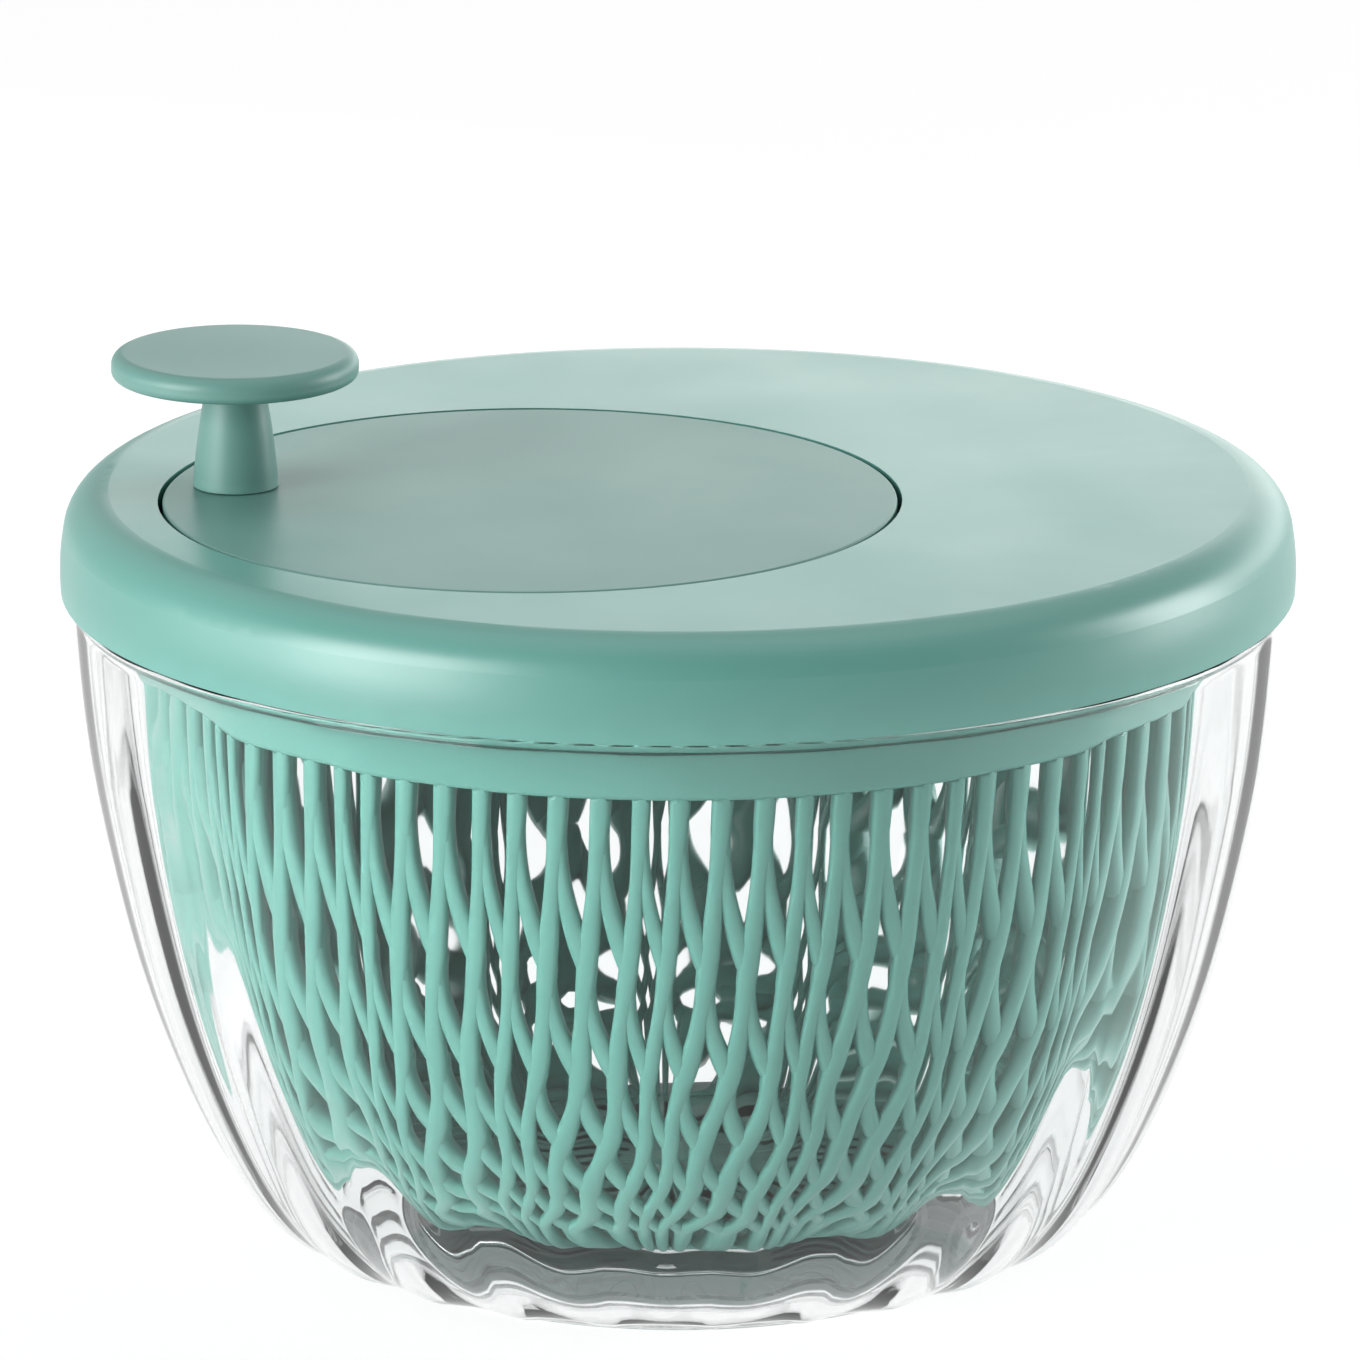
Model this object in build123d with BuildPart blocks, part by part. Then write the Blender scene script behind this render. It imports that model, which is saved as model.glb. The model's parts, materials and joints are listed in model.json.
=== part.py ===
"""Salad spinner: clear bowl, lattice basket and a geared lid turned by a flush crank disc.

Frame: the origin is on the surface that the bowl stands on, at the bowl's centre, and +Z is up.
The crank disc is set to one side of the lid, towards -X.
"""

from build123d import *
from math import asin, atan, cos, pi, radians, sin, sqrt, tan
import os

# ---- driving dimensions, in millimetres ----
lid_radius = 130.0
lid_top = 166.0
lid_bottom = 144.8
lid_wall = 2.0
corner_radius = 9.6
skirt_curve_radius = 51.3
corner_lean = radians(10.5)

bowl_base = 1.0
bowl_wall = 3.0
bowl_floor = 3.5
bowl_base_radius = 66.0
bowl_rim_top = 150.0
bowl_rim_radius = 127.5
# outer outline of the bowl's side as (radius, height), from the base edge to just below the rim
bowl_side = [(81.7, 6.0), (91.1, 14.0), (100.1, 28.0), (107.6, 45.0), (114.4, 65.0),
             (120.5, 90.0), (125.0, 115.0)]
bead_height = 143.2
bead_radius = 0.9
foot_inner, foot_outer = 56.0, 64.0
foot_depth = 1.2
post_radius = 4.0
post_top = 15.1

pivot_radius = 6.5
pivot_bottom, pivot_top = 7.0, 17.5
running_gap = 0.05
face_gap = 0.1
lead_in, edge_break = 0.6, 0.4

basket_wall = 2.5
basket_rim_radius = 109.0
basket_rim_top = 143.5
basket_flange = 3.0
basket_flange_depth = 2.2
basket_band_bottom = 128.0
basket_floor = 15.0
basket_floor_radius = 46.0
drain_edge_radius = 60.0
# the basket's side is two arcs, given as (radius, height) where they end and halfway
basket_turn = (66.0, 20.5)
basket_knuckle = (82.0, 35.0)
basket_belly = (98.6, 68.0)
slot_columns = 16
# staggered rows of openings, as (middle height, height, width)
slot_rows = [(107.0, 38.0, 22.0), (73.0, 36.0, 20.0), (47.0, 24.0, 15.0)]
slot_start = 60.0
floor_slots = 8
floor_slot_middle, floor_slot_length, floor_slot_width = 31.0, 22.0, 5.0
band_step, band_step_height = 0.6, 2.0
hub_radius, hub_flange_radius = 9.5, 11.5
hub_bottom, hub_top = 8.0, 20.0
hub_flange = 1.6
driver_lugs = 6
notch_width, notch_reach = 10.6, 3.2

module = 1.5
ring_teeth = 60
pinion_teeth = 16
pressure_angle = radians(20)
backlash = 0.12
addendum, internal_addendum, dedendum = 1.0, 0.8, 1.25
flank_points = 5

disc_radius = 77.0
disc_gap = 1.0
disc_thickness = 2.6
disc_edge = 0.5
disc_hub_radius = 8.0
axle_radius = 4.0
axle_bottom, axle_top = 143.8, 161.5
groove_depth = 0.8
clip_bottom, clip_thickness, clip_radius = 145.2, 1.0, 6.4
washer_radius = 8.0
bush_radius = 6.0
bush_flange_radius = 8.5
bush_flange = 1.0
pinion_bush_length = 4.0

liner_bottom, liner_top = 147.0, 149.0
liner_radius = 123.0
liner_boss_radius, liner_boss_top, liner_boss_depth = 10.0, 153.0, 3.0
liner_rib_outer, liner_rib_inner, liner_rib_height = 112.5, 110.5, 3.0
lid_boss_radius, lid_boss_hole = 4.0, 10.0
lid_boss_circle = 117.5
lid_boss_angles = (30, 90, 150, 210, 270, 330)
recess_rim_depth = 4.0
rib_inner, rib_outer = 124.5, 126.5
rib_bottom, rib_top = 151.6, 162.6
gasket_grip, gasket_wall = 2.4, 0.8

gear_bottom, gear_top = 155.5, 161.5
ring_gear_radius = 52.5
ear_circle = 55.5
ear_radius, ear_clearance = 4.5, 0.2
ear_top, ear_hole = 158.0, 5.0
ear_angles = (0, 60, 120, 180, 240, 300)

arm_radius = 62.9
arm_angle = 149.75
knob_radius = 26.0
knob_top = 195.0
knob_cap_thickness = 5.4
knob_edge, knob_lower_edge = 2.6, 1.6
knob_boss_radius, knob_boss_bottom = 7.0, 160.0
stem_base_radius, stem_top_radius = 8.95, 7.5
stem_gap = 0.3
# outline of the stem's side between its base and its top, as (radius, height)
stem_side = [(8.3, 174.0), (7.2, 182.0), (6.7, 186.2)]
spindle_radius, spindle_top = 3.0, 183.0
spindle_head_radius, spindle_head = 6.0, 2.0
knob_washer_radius, knob_washer_thickness = 5.0, 0.8
counterbore_radius, counterbore_bottom = 5.4, 182.8
spigot = 2.6

driver_bottom, driver_top = 136.0, 142.8
driver_plate = 2.0
driver_notch_depth, driver_lug_gap = 3.4, 0.4
driver_hub_radius, driver_radius = 10.0, 105.8
driver_lug_radius = 108.4
driver_lug_length, driver_lug_width = 12.0, 10.0
stiffener_inner, stiffener_outer = 8.0, 100.8
stiffener_bottom, stiffener_width = 136.8, 2.4
hexagon_radius = 3.9
driver_washer_radius, driver_washer_thickness = 7.0, 1.0

screw_radius = 1.5
screw_head_radius = 2.9
screw_head = 1.6
screw_clearance = 0.2
retainer_head_radius = 5.0
# the cross recess of a screw, as shares of the head's radius and height
cross_length, cross_width, cross_depth = 1.2, 0.3, 0.55
liner_screw, ring_gear_screw, knob_screw_length = 11.0, 6.5, 9.0
pinion_screw_length, driver_screw_length = 6.0, 7.0

# ---- worked out from them ----
centre_distance = module * (ring_teeth - pinion_teeth) / 2
disc_centre = (-centre_distance, 0)
disc_bottom = lid_top - disc_thickness
knob_centre = (disc_centre[0] + arm_radius * cos(radians(arm_angle)),
               arm_radius * sin(radians(arm_angle)))
floor_top = bowl_base + bowl_floor
knob_cap_bottom = knob_top - knob_cap_thickness


def level(height, centre=(0, 0)):
    """Return a horizontal plane at a height, with its origin over a centre."""
    return Plane(origin=(centre[0], centre[1], height))


def section(centre=(0, 0)):
    """Return the upright plane for a half outline: its x is the radius and its y the height."""
    return Plane(origin=(centre[0], centre[1], 0), x_dir=(1, 0, 0), z_dir=(0, -1, 0))


def upright(centre=(0, 0)):
    """Return the upright axis through a centre."""
    return Axis((centre[0], centre[1], 0), (0, 0, 1))


def around(radius, angle, centre=(0, 0)):
    """Return the point at a radius and an angle in degrees about a centre."""
    return (centre[0] + radius * cos(radians(angle)), centre[1] + radius * sin(radians(angle)))


def inward(points, distance):
    """Move each point of a side outline towards the axis, square to the outline."""
    moved = []
    for index, (radius, height) in enumerate(points):
        before = points[max(index - 1, 0)]
        after = points[min(index + 1, len(points) - 1)]
        run, rise = after[0] - before[0], after[1] - before[1]
        length = sqrt(run**2 + rise**2)
        moved.append((radius - distance * rise / length, height + distance * run / length))
    return moved


def cylinder(bottom, top, radius, bore=0, centre=(0, 0), mode=Mode.ADD):
    """Add or cut an upright cylinder, or a tube when it has a bore."""
    with BuildSketch(level(bottom, centre)) as disc:
        Circle(radius)
        if bore:
            Circle(bore, mode=Mode.SUBTRACT)
    extrude(disc.sketch, amount=top - bottom, mode=mode)


def hexagon(bottom, top, radius, mode=Mode.ADD):
    """Add or cut an upright hexagonal bar on the centre line."""
    with BuildSketch(level(bottom)) as bar:
        RegularPolygon(radius, 6)
    extrude(bar.sketch, amount=top - bottom, mode=mode)


def screw(centre, seat, length, upwards=1, head_radius=screw_head_radius):
    """Add a pan head screw with a cross recess, its head resting on the seat height."""
    head_side = Plane(origin=(centre[0], centre[1], seat), z_dir=(0, 0, -upwards))
    shank_side = Plane(origin=(centre[0], centre[1], seat), z_dir=(0, 0, upwards))
    with BuildSketch(head_side) as head:
        Circle(head_radius)
    extrude(head.sketch, amount=screw_head)
    with BuildSketch(shank_side) as shank:
        Circle(screw_radius)
    extrude(shank.sketch, amount=length)
    with BuildSketch(head_side.offset(screw_head)) as recess:
        Rectangle(cross_length * head_radius, cross_width * head_radius)
        Rectangle(cross_width * head_radius, cross_length * head_radius)
    extrude(recess.sketch, amount=-cross_depth * screw_head, mode=Mode.SUBTRACT)


def flanged_bush(bottom, top, flange_bottom, centre=(0, 0)):
    """Add a plain bearing bush with a flange that starts at a given height."""
    cylinder(bottom, top, bush_radius, axle_radius + running_gap, centre)
    cylinder(flange_bottom, flange_bottom + bush_flange, bush_flange_radius,
             axle_radius + running_gap, centre)


def involute(roll):
    """Return the polar angle of an involute where the tangent of its pressure angle is roll."""
    return roll - atan(roll)


def gear_outline(teeth, tip_radius, root_radius, widening):
    """Return the points of an involute gear outline with a tooth centred on angle 0."""
    pitch_radius = module * teeth / 2
    base_radius = pitch_radius * cos(pressure_angle)
    half_tooth = pi / 2 / teeth + widening / 2 / pitch_radius + involute(tan(pressure_angle))
    start_radius = max(base_radius, root_radius)
    flank = []
    for step in range(flank_points):
        radius = start_radius + (tip_radius - start_radius) * step / (flank_points - 1)
        roll = sqrt(max((radius / base_radius) ** 2 - 1, 0))
        flank.append((radius, half_tooth - involute(roll)))
    if root_radius < base_radius:
        flank.insert(0, (root_radius, half_tooth))
    points = []
    for tooth in range(teeth):
        middle = 2 * pi * tooth / teeth
        rising = [(radius, middle - angle) for radius, angle in flank]
        falling = [(radius, middle + angle) for radius, angle in reversed(flank)]
        points += [(radius * cos(angle), radius * sin(angle)) for radius, angle in rising + falling]
    return points


def gear(bottom, top, outline, centre=(0, 0), mode=Mode.ADD):
    """Add or cut an upright bar with a gear outline."""
    with BuildSketch(level(bottom, centre)) as teeth:
        with BuildLine():
            Polyline(*outline, close=True)
        make_face()
    extrude(teeth.sketch, amount=top - bottom, mode=mode)


def skirt_arcs(depth):
    """Draw the lid's side at a depth below its surface: the skirt's arc, then the top corner's."""
    arcs = []
    drop = skirt_centre[1] - lid_bottom
    turns = [(skirt_centre, skirt_curve_radius, -asin(drop / (skirt_curve_radius - depth)), corner_lean),
             (corner_centre, corner_radius, corner_lean, pi / 2)]
    for centre, radius, start, end in turns:
        points = [(centre[0] + (radius - depth) * cos(turn), centre[1] + (radius - depth) * sin(turn))
                  for turn in (start, (start + end) / 2, end)]
        arcs.append(ThreePointArc(*points))
    return arcs


def slot_tool(middle, height, width):
    """Return a bar with a pointed outline that cuts one opening on the +X side of the basket."""
    side = Plane(origin=(slot_start, 0, middle), x_dir=(0, 1, 0), z_dir=(1, 0, 0))
    with BuildPart() as tool:
        with BuildSketch(side) as lens:
            with BuildLine():
                Polyline((0, height / 2), (width / 2, height / 6), (width / 2, -height / 6),
                         (0, -height / 2), (-width / 2, -height / 6), (-width / 2, height / 6),
                         close=True)
            make_face()
        extrude(lens.sketch, amount=basket_rim_radius + basket_flange - slot_start)
    return tool.part


def finish(name, piece):
    """Label a finished piece and write it as one STEP file."""
    piece.part.label = name
    export_step(piece.part, f"parts/{name}.step")


os.makedirs("parts", exist_ok=True)

# ---- bowl: a clear moulded shell with a centre post that the basket turns on ----
bowl_bottom_edge = (bowl_base_radius, bowl_base)
bowl_neck = (bowl_rim_radius, bead_height - 2 * bead_radius)
outer_side = [bowl_bottom_edge] + bowl_side + [bowl_neck]
inner_side = inward(outer_side, bowl_wall)
inner_side[0] = (bowl_base_radius - bowl_wall, floor_top)
inner_side[-1] = (bowl_rim_radius - bowl_wall, bowl_neck[1])
with BuildPart() as bowl:
    with BuildSketch(section()) as bowl_section:
        with BuildLine():
            Polyline((0, floor_top), (0, bowl_base), bowl_bottom_edge)
            Spline(*outer_side)
            Polyline(bowl_neck, (bowl_rim_radius, bead_height - bead_radius))
            ThreePointArc((bowl_rim_radius, bead_height - bead_radius),
                          (bowl_rim_radius + bead_radius, bead_height),
                          (bowl_rim_radius, bead_height + bead_radius))
            Polyline((bowl_rim_radius, bead_height + bead_radius), (bowl_rim_radius, bowl_rim_top),
                     (bowl_rim_radius - bowl_wall, bowl_rim_top), inner_side[-1])
            Spline(*reversed(inner_side))
            Line(inner_side[0], (0, floor_top))
        make_face()
    revolve(bowl_section.sketch, axis=Axis.Z)
    cylinder(bowl_base, bowl_base + foot_depth, foot_outer, foot_inner, mode=Mode.SUBTRACT)
    cylinder(floor_top, post_top, post_radius)
    chamfer(bowl.edges().filter_by(GeomType.CIRCLE).filter_by(
        lambda edge: abs(edge.radius - post_radius) < running_gap).sort_by(Axis.Z)[-1], lead_in)
finish("bowl", bowl)

with BuildPart() as foot_ring:
    cylinder(0, bowl_base + foot_depth, foot_outer, foot_inner)
    chamfer(foot_ring.edges().group_by(Axis.Z)[0], edge_break)
finish("foot_ring", foot_ring)

# ---- bearing cap that slides onto the bowl's post and carries the basket ----
with BuildPart() as pivot_cap:
    cylinder(pivot_bottom, pivot_top, pivot_radius)
    cylinder(pivot_bottom, post_top + face_gap, post_radius + running_gap, mode=Mode.SUBTRACT)
    chamfer(pivot_cap.edges().group_by(Axis.Z)[-1], lead_in)
finish("pivot_cap", pivot_cap)

# ---- basket ----
band_bottom = (basket_rim_radius - band_step, basket_band_bottom)
basket_outer = [(basket_floor_radius, basket_floor), basket_turn, basket_knuckle, basket_belly,
                band_bottom]
basket_inner = inward(basket_outer, basket_wall)
basket_inner[0] = (basket_floor_radius, basket_floor + basket_wall)
basket_inner[-1] = (band_bottom[0] - basket_wall, basket_band_bottom)
rim_inner_radius = basket_rim_radius - basket_wall
flange_radius = basket_rim_radius + basket_flange
flange_bottom = basket_rim_top - basket_flange_depth
slot_tools = [slot_tool(*row) for row in slot_rows]
with BuildPart() as basket:
    with BuildSketch(section()) as basket_section:
        with BuildLine():
            Line(basket_inner[0], basket_outer[0])
            ThreePointArc(*basket_outer[:3])
            ThreePointArc(*basket_outer[2:])
            Polyline(band_bottom, (basket_rim_radius, basket_band_bottom + band_step_height),
                     (basket_rim_radius, flange_bottom), (flange_radius, flange_bottom),
                     (flange_radius, basket_rim_top), (rim_inner_radius, basket_rim_top),
                     basket_inner[-1])
            ThreePointArc(*basket_inner[4:1:-1])
            ThreePointArc(*basket_inner[2::-1])
        make_face()
    revolve(basket_section.sketch, axis=Axis.Z)
    for row, tool in enumerate(slot_tools):
        with PolarLocations(0, slot_columns, start_angle=180 / slot_columns * (row % 2)):
            add(tool, mode=Mode.SUBTRACT)
    with BuildSketch(level(driver_top - driver_notch_depth)) as notches:
        with PolarLocations(basket_rim_radius, driver_lugs):
            Rectangle(2 * notch_reach, notch_width)
    extrude(notches.sketch, amount=basket_rim_top, mode=Mode.SUBTRACT)
    cylinder(0, lid_top, drain_edge_radius, mode=Mode.SUBTRACT)
finish("basket", basket)

# ---- basket: dished slotted plate that closes its floor, and the flanged socket pressed into it ----
with BuildPart() as drain_plate:
    revolve(basket_section.sketch, axis=Axis.Z)
    cylinder(0, lid_top, drain_edge_radius, mode=Mode.INTERSECT)
    cylinder(basket_floor, basket_floor + basket_wall, basket_floor_radius, hub_radius)
    with BuildSketch(level(basket_floor)) as drain:
        with PolarLocations(floor_slot_middle, floor_slots):
            SlotOverall(floor_slot_length, floor_slot_width)
    extrude(drain.sketch, amount=basket_wall, mode=Mode.SUBTRACT)
finish("drain_plate", drain_plate)

with BuildPart() as basket_hub:
    cylinder(hub_bottom, hub_top, hub_radius)
    cylinder(basket_floor - hub_flange, basket_floor, hub_flange_radius)
    cylinder(hub_bottom, pivot_top + 2 * face_gap, pivot_radius + running_gap, mode=Mode.SUBTRACT)
    chamfer(basket_hub.edges().group_by(Axis.Z)[0], edge_break)
finish("basket_hub", basket_hub)

# ---- lid: outer cover ----
recess_radius = disc_radius + disc_gap
plate_bottom = lid_top - lid_wall
join_height = lid_top - corner_radius * (1 - sin(corner_lean))
skirt_centre = (lid_radius - skirt_curve_radius, join_height - skirt_curve_radius * sin(corner_lean))
corner_centre = (skirt_centre[0] + (skirt_curve_radius - corner_radius) * cos(corner_lean),
                 join_height - corner_radius * sin(corner_lean))
with BuildPart() as lid_cover:
    with BuildSketch(section()) as cover_section:
        with BuildLine():
            skirt_outer, corner_outer = skirt_arcs(0)
            skirt_inner, corner_inner = skirt_arcs(lid_wall)
            Line(skirt_outer @ 0, skirt_inner @ 0)
            Polyline(corner_outer @ 1, (0, lid_top), (0, plate_bottom), corner_inner @ 1)
        make_face()
    revolve(cover_section.sketch, axis=Axis.Z)
    cylinder(rib_bottom, rib_top, rib_outer, rib_inner)
    cylinder(plate_bottom - recess_rim_depth, plate_bottom, recess_radius + lid_wall,
             centre=disc_centre)
    cylinder(plate_bottom - recess_rim_depth, lid_top, recess_radius, centre=disc_centre,
             mode=Mode.SUBTRACT)
    for angle in lid_boss_angles:
        boss_centre = around(lid_boss_circle, angle)
        cylinder(liner_top, plate_bottom, lid_boss_radius, centre=boss_centre)
        cylinder(liner_top, liner_top + lid_boss_hole, screw_radius, centre=boss_centre,
                 mode=Mode.SUBTRACT)
finish("lid_cover", lid_cover)

# ---- lid: liner plate that carries the bearings and closes the lid from below ----
liner_boss_bottom = liner_bottom - liner_boss_depth
with BuildPart() as lid_liner:
    cylinder(liner_bottom, liner_top, liner_radius)
    cylinder(liner_top, liner_boss_top, liner_boss_radius, centre=disc_centre)
    cylinder(liner_bottom, liner_boss_top, bush_radius, centre=disc_centre, mode=Mode.SUBTRACT)
    cylinder(liner_boss_bottom, liner_boss_top, liner_boss_radius)
    cylinder(liner_boss_bottom, liner_boss_top, bush_radius, mode=Mode.SUBTRACT)
    cylinder(liner_top, liner_top + liner_rib_height, liner_rib_outer, liner_rib_inner)
    for angle in lid_boss_angles:
        cylinder(liner_bottom, liner_top, screw_radius + screw_clearance,
                 centre=around(lid_boss_circle, angle), mode=Mode.SUBTRACT)
finish("lid_liner", lid_liner)

# ---- lid: sealing ring on the cover's inner rib ----
with BuildPart() as lid_gasket:
    cylinder(bowl_rim_top + face_gap, rib_bottom + gasket_grip, rib_outer + gasket_wall,
             rib_inner - gasket_wall)
    cylinder(rib_bottom, rib_bottom + gasket_grip, rib_outer, rib_inner, mode=Mode.SUBTRACT)
finish("lid_gasket", lid_gasket)

with BuildPart() as liner_screws:
    for angle in lid_boss_angles:
        screw(around(lid_boss_circle, angle), liner_bottom, liner_screw)
finish("liner_screws", liner_screws)

# ---- lid: plain bearings ----
with BuildPart() as axle_bush:
    flanged_bush(liner_bottom, liner_boss_top, liner_boss_top, disc_centre)
finish("axle_bush", axle_bush)

with BuildPart() as pinion_bush_upper:
    flanged_bush(liner_boss_top - pinion_bush_length, liner_boss_top, liner_boss_top)
finish("pinion_bush_upper", pinion_bush_upper)

with BuildPart() as pinion_bush_lower:
    flanged_bush(liner_boss_bottom, liner_boss_bottom + pinion_bush_length,
                 liner_boss_bottom - bush_flange)
finish("pinion_bush_lower", pinion_bush_lower)

# ---- crank: flush disc with its hub, screw bosses and knob boss ----
disc_hub_bottom = liner_boss_top + bush_flange + face_gap
with BuildPart() as crank_disc:
    cylinder(disc_bottom, lid_top, disc_radius, centre=disc_centre)
    fillet(crank_disc.edges().group_by(Axis.Z)[-1], disc_edge)
    cylinder(disc_hub_bottom, disc_bottom, disc_hub_radius, centre=disc_centre)
    cylinder(disc_hub_bottom, axle_top, axle_radius, centre=disc_centre, mode=Mode.SUBTRACT)
    for angle in ear_angles:
        ear_centre = around(ear_circle, angle, disc_centre)
        cylinder(ear_top, disc_bottom, ear_radius, centre=ear_centre)
        cylinder(ear_top, ear_top + ear_hole, screw_radius, centre=ear_centre, mode=Mode.SUBTRACT)
    cylinder(knob_boss_bottom, disc_bottom, knob_boss_radius, centre=knob_centre)
    cylinder(knob_boss_bottom, lid_top, spindle_radius, centre=knob_centre, mode=Mode.SUBTRACT)
finish("crank_disc", crank_disc)

# ---- crank: internal gear screwed under the disc ----
ring_tip_radius = module * (ring_teeth / 2 - internal_addendum)
ring_root_radius = module * (ring_teeth / 2 + dedendum)
with BuildPart() as ring_gear:
    cylinder(gear_bottom, disc_bottom, ring_gear_radius, centre=disc_centre)
    for angle in ear_angles:
        cylinder(gear_bottom, ear_top, ear_radius, centre=around(ear_circle, angle, disc_centre))
    for angle in ear_angles:
        ear_centre = around(ear_circle, angle, disc_centre)
        cylinder(ear_top, disc_bottom, ear_radius + ear_clearance, centre=ear_centre,
                 mode=Mode.SUBTRACT)
        cylinder(gear_bottom, ear_top, screw_radius + screw_clearance, centre=ear_centre,
                 mode=Mode.SUBTRACT)
    gear(gear_bottom, disc_bottom, gear_outline(ring_teeth, ring_root_radius, ring_tip_radius, backlash),
         disc_centre, mode=Mode.SUBTRACT)
finish("ring_gear", ring_gear)

with BuildPart() as ring_gear_screws:
    for angle in ear_angles:
        screw(around(ear_circle, angle, disc_centre), gear_bottom, ring_gear_screw)
finish("ring_gear_screws", ring_gear_screws)

# ---- crank: axle with its washer and retaining clip under the liner ----
groove_radius = axle_radius - groove_depth
with BuildPart() as crank_axle:
    cylinder(axle_bottom, axle_top, axle_radius, centre=disc_centre)
    cylinder(clip_bottom, clip_bottom + clip_thickness, axle_radius, groove_radius, disc_centre,
             mode=Mode.SUBTRACT)
    chamfer(crank_axle.edges().group_by(Axis.Z)[0], edge_break)
finish("crank_axle", crank_axle)

with BuildPart() as axle_washer:
    cylinder(clip_bottom + clip_thickness, liner_bottom - face_gap, washer_radius,
             axle_radius + running_gap, disc_centre)
finish("axle_washer", axle_washer)

with BuildPart() as axle_clip:
    cylinder(clip_bottom, clip_bottom + clip_thickness, clip_radius, groove_radius, disc_centre)
    with BuildSketch(level(clip_bottom, (disc_centre[0] + axle_radius, 0))) as clip_mouth:
        Rectangle(2 * axle_radius, 1.6 * groove_radius)
    extrude(clip_mouth.sketch, amount=clip_thickness, mode=Mode.SUBTRACT)
finish("axle_clip", axle_clip)

# ---- crank: fixed spindle that the knob turns on ----
with BuildPart() as knob_spindle:
    cylinder(knob_boss_bottom, spindle_top, spindle_radius, centre=knob_centre)
    cylinder(knob_boss_bottom - spindle_head, knob_boss_bottom, spindle_head_radius,
             centre=knob_centre)
    cylinder(spindle_top - knob_screw_length, spindle_top, screw_radius, centre=knob_centre,
             mode=Mode.SUBTRACT)
finish("knob_spindle", knob_spindle)

washer_top = spindle_top + knob_washer_thickness
with BuildPart() as knob_washer:
    cylinder(spindle_top, washer_top, knob_washer_radius, screw_radius, knob_centre)
finish("knob_washer", knob_washer)

with BuildPart() as knob_screw:
    screw(knob_centre, washer_top, knob_screw_length, upwards=-1)
finish("knob_screw", knob_screw)

# ---- knob: tapered stem and mushroom cap, free to turn on the spindle ----
stem_bottom = lid_top + stem_gap
stem_base = (stem_base_radius, stem_bottom)
stem_top = (stem_top_radius, knob_cap_bottom)
with BuildPart() as knob_stem:
    with BuildSketch(section(knob_centre)) as stem_section:
        with BuildLine():
            Polyline(stem_top, (0, knob_cap_bottom), (0, stem_bottom), stem_base)
            Spline(stem_base, *stem_side, stem_top)
        make_face()
    revolve(stem_section.sketch, axis=upright(knob_centre))
    cylinder(stem_bottom, spindle_top, spindle_radius + running_gap, centre=knob_centre,
             mode=Mode.SUBTRACT)
    cylinder(counterbore_bottom, knob_cap_bottom, counterbore_radius, centre=knob_centre,
             mode=Mode.SUBTRACT)
finish("knob_stem", knob_stem)

with BuildPart() as knob_cap:
    cylinder(knob_cap_bottom, knob_top, knob_radius, centre=knob_centre)
    fillet(knob_cap.edges().group_by(Axis.Z)[-1], knob_edge)
    fillet(knob_cap.edges().group_by(Axis.Z)[0], knob_lower_edge)
    cylinder(knob_cap_bottom - spigot, knob_cap_bottom, counterbore_radius, centre=knob_centre)
finish("knob_cap", knob_cap)

# ---- driver: pinion, shaft and the spoked wheel that turns the basket ----
pinion_tip_radius = module * (pinion_teeth / 2 + addendum)
pinion_root_radius = module * (pinion_teeth / 2 - dedendum)
pinion_hub_bottom = liner_boss_top + bush_flange + 2 * face_gap
washer_bottom = driver_bottom - driver_washer_thickness
with BuildPart() as pinion_shaft:
    cylinder(driver_top, pinion_hub_bottom, axle_radius)
    hexagon(pinion_hub_bottom, gear_top, hexagon_radius)
    hexagon(driver_bottom, driver_top, hexagon_radius)
    cylinder(gear_top - pinion_screw_length, gear_top, screw_radius, mode=Mode.SUBTRACT)
    cylinder(driver_bottom, washer_bottom + driver_screw_length, screw_radius, mode=Mode.SUBTRACT)
finish("pinion_shaft", pinion_shaft)

with BuildPart() as drive_pinion:
    cylinder(pinion_hub_bottom, gear_bottom, 2 * axle_radius)
    gear(gear_bottom, gear_top,
         gear_outline(pinion_teeth, pinion_tip_radius, pinion_root_radius, -backlash))
    hexagon(pinion_hub_bottom, gear_top, hexagon_radius, mode=Mode.SUBTRACT)
finish("drive_pinion", drive_pinion)

with BuildPart() as pinion_screw:
    screw((0, 0), gear_top, pinion_screw_length, upwards=-1, head_radius=retainer_head_radius)
finish("pinion_screw", pinion_screw)

plate_underside = driver_top - driver_plate
lug_bottom = driver_top - driver_notch_depth + driver_lug_gap
stiffener_length = stiffener_outer - stiffener_inner
with BuildPart() as basket_driver:
    cylinder(driver_bottom, driver_top, driver_hub_radius)
    cylinder(plate_underside, driver_top, driver_radius)
    with BuildSketch(level(lug_bottom)) as lugs:
        with PolarLocations(driver_lug_radius - driver_lug_length / 2, driver_lugs):
            Rectangle(driver_lug_length, driver_lug_width)
    extrude(lugs.sketch, amount=driver_top - lug_bottom)
    with BuildSketch(level(stiffener_bottom)) as stiffeners:
        with PolarLocations(stiffener_inner + stiffener_length / 2, driver_lugs,
                            start_angle=180 / driver_lugs):
            Rectangle(stiffener_length, stiffener_width)
    extrude(stiffeners.sketch, amount=plate_underside - stiffener_bottom)
    hexagon(driver_bottom, driver_top, hexagon_radius, mode=Mode.SUBTRACT)
finish("basket_driver", basket_driver)

with BuildPart() as driver_washer:
    cylinder(washer_bottom, driver_bottom, driver_washer_radius, screw_radius)
finish("driver_washer", driver_washer)

with BuildPart() as driver_screw:
    screw((0, 0), washer_bottom, driver_screw_length)
finish("driver_screw", driver_screw)
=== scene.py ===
"""Looks of the salad spinner: clear fluted bowl, slatted basket, satin lid, crank disc and knob."""

import json
from math import atan2, cos, log, pi, radians, sin

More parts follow.
